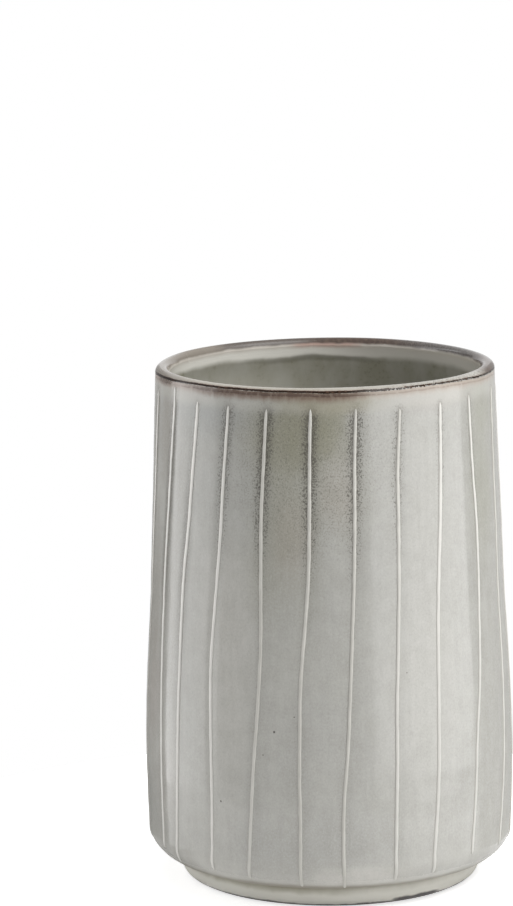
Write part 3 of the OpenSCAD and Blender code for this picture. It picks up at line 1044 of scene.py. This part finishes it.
# %% [markdown]
# ## The band under the lip
#
# Below the iron line the glaze is thin: a pale band, a pink blush, and on the front left a rusty
# brown that runs down in drips. The distance below the iron line is the measure here, swayed by
# drawn-out noise, because drips hang from the line and not from a level.

# %% The band under the lip, and the brown that runs down from the iron line
back_share = ease(swayed(towards(glaze, place, 146), slow, 4), 3, 12)
front_share = facing(-19, 28.5, 34.2, 0.25, 1)
dripping = swayed(swayed(below_iron, streaky, -1.0), slow, 0.5)
pale_band = both(ease(dripping, 0.9, 2.0), ease(dripping, 3.0, 5.6, 0.5, 0))
paint(pale_band, tone(187, 185, 178))
stain = ease(swayed(spot(2, 109.6, 12, 3.0), slow, 0.6), 0.3, 1.2, 0.42, 0)
paint(stain, tone(126, 118, 84))
blush = both(ease(below_iron, 0.2, 0.4), ease(dripping, 0.5, 2.5, 0.62, 0))
blush_tone = mixed(facing(50, 22, 32), tone(168, 146, 132), tone(180, 164, 150))
paint(blush, blush_tone)
smudge = ease(spot(-69, 111.5, 6, 1.6), 0.3, 1.15, 1, 0)
paint(both(smudge, ease(peppery, 0.42, 0.58, 0.35, 1)), tone(58, 48, 40))
reach = maths(glaze, "MULTIPLY_ADD", front_share, -1.7, dripping)
run = both(ease(below_iron, 0.25, 0.45), ease(reach, -0.9, 1.2, 1, 0), front_share)
run_tone = mixed(ease(dripping, 0.5, 1.9), RUST, tone(108, 86, 70))
paint(both(run, ease(blotchy, 0.25, 0.65, 0.75, 1.0)), run_tone)
second_line = ease(off(swayed(below_iron, slow, 0.35), 0.9), 0.06, 0.26, 0.85, 0)
paint(both(second_line, front_share, ease(blotchy, 0.3, 0.5)), tone(74, 54, 42))
print("layers so far:", len(layers))

# %% [markdown]
# ## The lip
#
# The crest of the lip breaks in colour round the cup: a greyish cream in front, a freckled brown
# behind, and dark grey at the right. Ramps across the cup, from one side to the other, turn one
# into the next, so that no seam has to be hidden.

# %% The lip: cream in front, brown behind
on_lip = ease(below_iron, 0.0, -0.12)
lip_front = mixed(facing(66, 8, 30), tone(156, 151, 141), tone(161, 158, 150))
darker_left = ease(swayed(towards(glaze, place, 15), slow, 5), 4, 19, 0.9, 0)
lip_front = mixed(darker_left, lip_front, tone(112, 104, 94))
lip_front = mixed(ease(blotchy, 0.45, 0.75, 0, 0.4), lip_front, tone(126, 116, 104))
dotted = both(ease(peppery, 0.5, 0.62, 0, 0.75), facing(72, 20, 31))
lip_front = mixed(dotted, lip_front, tone(92, 82, 74))
rusty_edge = ease(off(below_iron, -0.3), 0.05, 0.22, 0.6, 0)
lip_front = mixed(both(rusty_edge, front_share), lip_front, tone(120, 88, 70))
lip_back = mixed(ease(blotchy, 0.4, 0.7, 0, 0.4), tone(68, 53, 44), tone(106, 90, 78))
left_back = facing(-146, 27, 33)
lip_back = mixed(both(left_back, 0.7), lip_back, tone(76, 70, 64))
lip_right = mixed(ease(grainy, 0.4, 0.6), tone(70, 66, 63), tone(100, 95, 92))
lip_back = mixed(both(ease(peppery, 0.56, 0.68), 0.6), lip_back, tone(48, 40, 36))
lip_back = mixed(facing(128, 29, 34), lip_back, lip_right)
paint(on_lip, mixed(back_share, lip_front, lip_back))
print("layers so far:", len(layers))

# %% [markdown]
# ## Down inside the hollow
#
# Inside, a pale band follows the brown line, and under it the glaze pools in a wavy dark ledge
# before it turns to a deep grey-green. The band is painted lighter towards the back left, and the
# upper hollow lighter everywhere but at the back right, as painted light where the lamps reach
# inside. The distance below the inner line carries all of these, with two sizes of noise for the
# wavy edge.

# %% Down inside the hollow
# Painted light: the band is lighter towards the back left, where the lamps reach inside
band_tone_and_light = mixed(facing(-142, 18, 34), tone(190, 187, 179), tone(212, 210, 202))
at_the_back = ease(swayed(towards(glaze, place, 180), slow, 2), 32.2, 33.5)
warm_edge = mixed(at_the_back, tone(190, 184, 175), tone(170, 145, 134))
paint(ease(swayed(inside_iron, slow, 0.6), -0.5, 0.2), warm_edge)
paint(ease(swayed(inside_iron, slow, 0.6), 0.1, 1.3), band_tone_and_light)
deep = mixed(ease(cloudy, 0.35, 0.7), tone(127, 125, 111), tone(145, 144, 135))
deep = mixed(both(ease(blotchy, 0.5, 0.7), ease(cloudy, 0.4, 0.6, 0.5, 0)), deep, tone(104, 102, 84))
ledge = swayed(swayed(inside_iron, broad, 2.4), slow, 0.5)
# Painted light: the upper hollow is paler away from the back right, which stays in shade
lit_side = facing(153, 32.5, 19, 0.2, 0.65)
deep = mixed(both(lit_side, ease(height_up, 108, 101)), deep, tone(176, 174, 164))
paint(ease(ledge, 1.9, 3.6), deep)
dark_ledge = both(ease(ledge, 2.3, 2.9), ease(ledge, 3.0, 4.2, 0.55, 0), facing(184, 28, 34))
paint(dark_ledge, tone(72, 70, 56))
print("layers so far:", len(layers))

# %% [markdown]
# ## The iron line and the gloss
#
# The iron line is where two glazes meet and burn dark: thin, of uneven width, broken up on the
# right. It is laid on last, over everything. The gloss belongs to the same recipe, since the
# glaze is duller where it is speckled, on the foot and at the back of the lip.

# %% The iron line itself
wavering = maths(glaze, "MULTIPLY_ADD", blotchy, -0.4, maths(glaze, "ABSOLUTE", below_iron))
wavering = maths(glaze, "ADD", wavering, facing(70, 14, 30, -0.03, -0.06))
broken = both(ease(peppery, 0.4, 0.65), facing(66, 16, 33, 0, 0.3))
iron_share = ease(maths(glaze, "ADD", wavering, broken), 0.02, 0.12, 1, 0)
paint(iron_share, mixed(ease(blotchy, 0.5, 0.75), IRON, tone(76, 56, 44)))

# %% Gloss and fine relief
roughness = ease(swayed(cloudy, grainy, 0.4), 0.3, 0.7, 0.12, 0.19)
dull_foot = ease(height_up, 9, 5.5, 0, 0.35)
dull_lip = both(left_back, ease(height_up, 109, 110.5), 0.3)
for duller in (both(speckled, 0.2), dull_foot, dull_lip):
    roughness = maths(glaze, "ADD", roughness, duller)
orange_peel = lumps(glaze, place, 1.6, 2, 1, seed=11)
relief_up = maths(glaze, "SUBTRACT", both(orange_peel, 0.6), both(speckled, 0.6))
group_out = glaze.nodes.new("NodeGroupOutput")
for socket, value in zip(group_out.inputs, (layers[-1], roughness, relief_up)):
    glaze.links.new(value, socket)
print("glaze nodes:", len(glaze.nodes))

# %% [markdown]
# ## Three finishes
#
# The fired glaze is glass, with a faint orange peel that breaks up its reflections. The slip is
# matt and a little chalky, pale where the light meets it. The bare clay of the foot is rough,
# with dark grog in it. All three end in the same shader, with the fine relief as a bump, because
# it is far too small for the mesh.

# %% Finishes
def coated(tree, surface, base, roughness, height, bump, depth, gloss=0.5):
    """Ends a material: a shader with its colour, its roughness and its fine relief."""
    shader = add(tree, "BsdfPrincipled")
    plug(tree, shader.inputs["Base Color"], base)
    plug(tree, shader.inputs["Roughness"], roughness)
    shader.inputs["Specular IOR Level"].default_value = gloss
    normal = add(tree, "Bump", bump, depth)
    plug(tree, normal.inputs["Height"], height)
    plug(tree, shader.inputs["Normal"], normal.outputs[0])
    plug(tree, surface, shader.outputs[0])


def glazed(name, gloss):
    """A coat's own material, fed by the shared group."""
    material, tree, surface = blank(name)
    group = tree.nodes.new("ShaderNodeGroup")
    group.node_tree = glaze
    base, roughness, height = (group.outputs[socket] for socket in ("Colour", "Roughness", "Height"))
    coated(tree, surface, base, roughness, height, 0.6, 0.00004, gloss)
    return material


def slip_finish():
    """Chalky slip, painted lighter towards both sides where the lamps light the lines, and greyer low down
    and at its edges.
    """
    material, tree, surface = blank("off-white slip")
    place = in_millimetres(tree)
    on_bead = add(tree, "Attribute", attribute_name="on_bead").outputs["Fac"]
    mottled = lumps(tree, place, 1.4, 3, 3)
    top = lay(tree, fade(tree, mottled, 0.35, 0.7), tone(193, 191, 184), tone(205, 203, 196))
    # Painted light: the lines nearest the left and right silhouettes get a whiter top, where the lamps light
    # them
    left = fade(tree, towards(tree, place, -60), 30, 37)
    right = fade(tree, towards(tree, place, 48), 33, 36.5, 0, 0.5)
    top = lay(tree, maths(tree, "MAXIMUM", left, right), top, tone(236, 234, 229))
    up = add(tree, "SeparateXYZ", place).outputs[2]
    top = lay(tree, fade(tree, up, 106, 10, 0, 0.32), top, tone(122, 120, 114))
    top = lay(tree, fade(tree, towards(tree, place, -92), 37.2, 38.2, 0, 0.7), top, tone(160, 159, 154))
    whole = lay(tree, fade(tree, on_bead, 0.05, 0.6), tone(150, 148, 141), top)
    roughness = fade(tree, mottled, 0.3, 0.7, 0.42, 0.58)
    coated(tree, surface, whole, roughness, lumps(tree, place, 0.5, 2), 0.4, 0.00003)
    return material


def bare_clay_finish():
    """Fired clay without glaze, with grains of grog; its dark tone is partly painted contact shadow at the
    foot's edge.
    """
    material, tree, surface = blank("bare fired clay")
    place = in_millimetres(tree)
    grog = lumps(tree, place, 0.5, 4)
    # A dark brown clay, made darker still as painted contact shadow where the foot meets the floor
    body = lay(tree, fade(tree, lumps(tree, place, 4, 3), 0.35, 0.7), tone(88, 79, 70), tone(68, 61, 55))
    whole = lay(tree, fade(tree, grog, 0.62, 0.72), body, tone(96, 80, 66))
    coated(tree, surface, whole, fade(tree, grog, 0.3, 0.7, 0.7, 0.9), grog, 0.7, 0.00006, 0.2)
    return material


# %% Give every piece its finish
for piece, name, gloss in (
    (outside, "outside glaze", 0.5), (iron, "iron edge", 0.1), (lip, "lip glaze", 0.5),
    (inner_iron, "brown edge", 0.5), (inside, "hollow glaze", 0.5), (recess, "recess glaze", 0.5),
):
    piece.data.materials.append(glazed(name, gloss))
clay.data.materials.append(bare_clay_finish())
slip = slip_finish()
for piece in beads:
    piece.data.materials.append(slip)
print("finished: 6 coats, the bare clay and", len(beads), "beads")
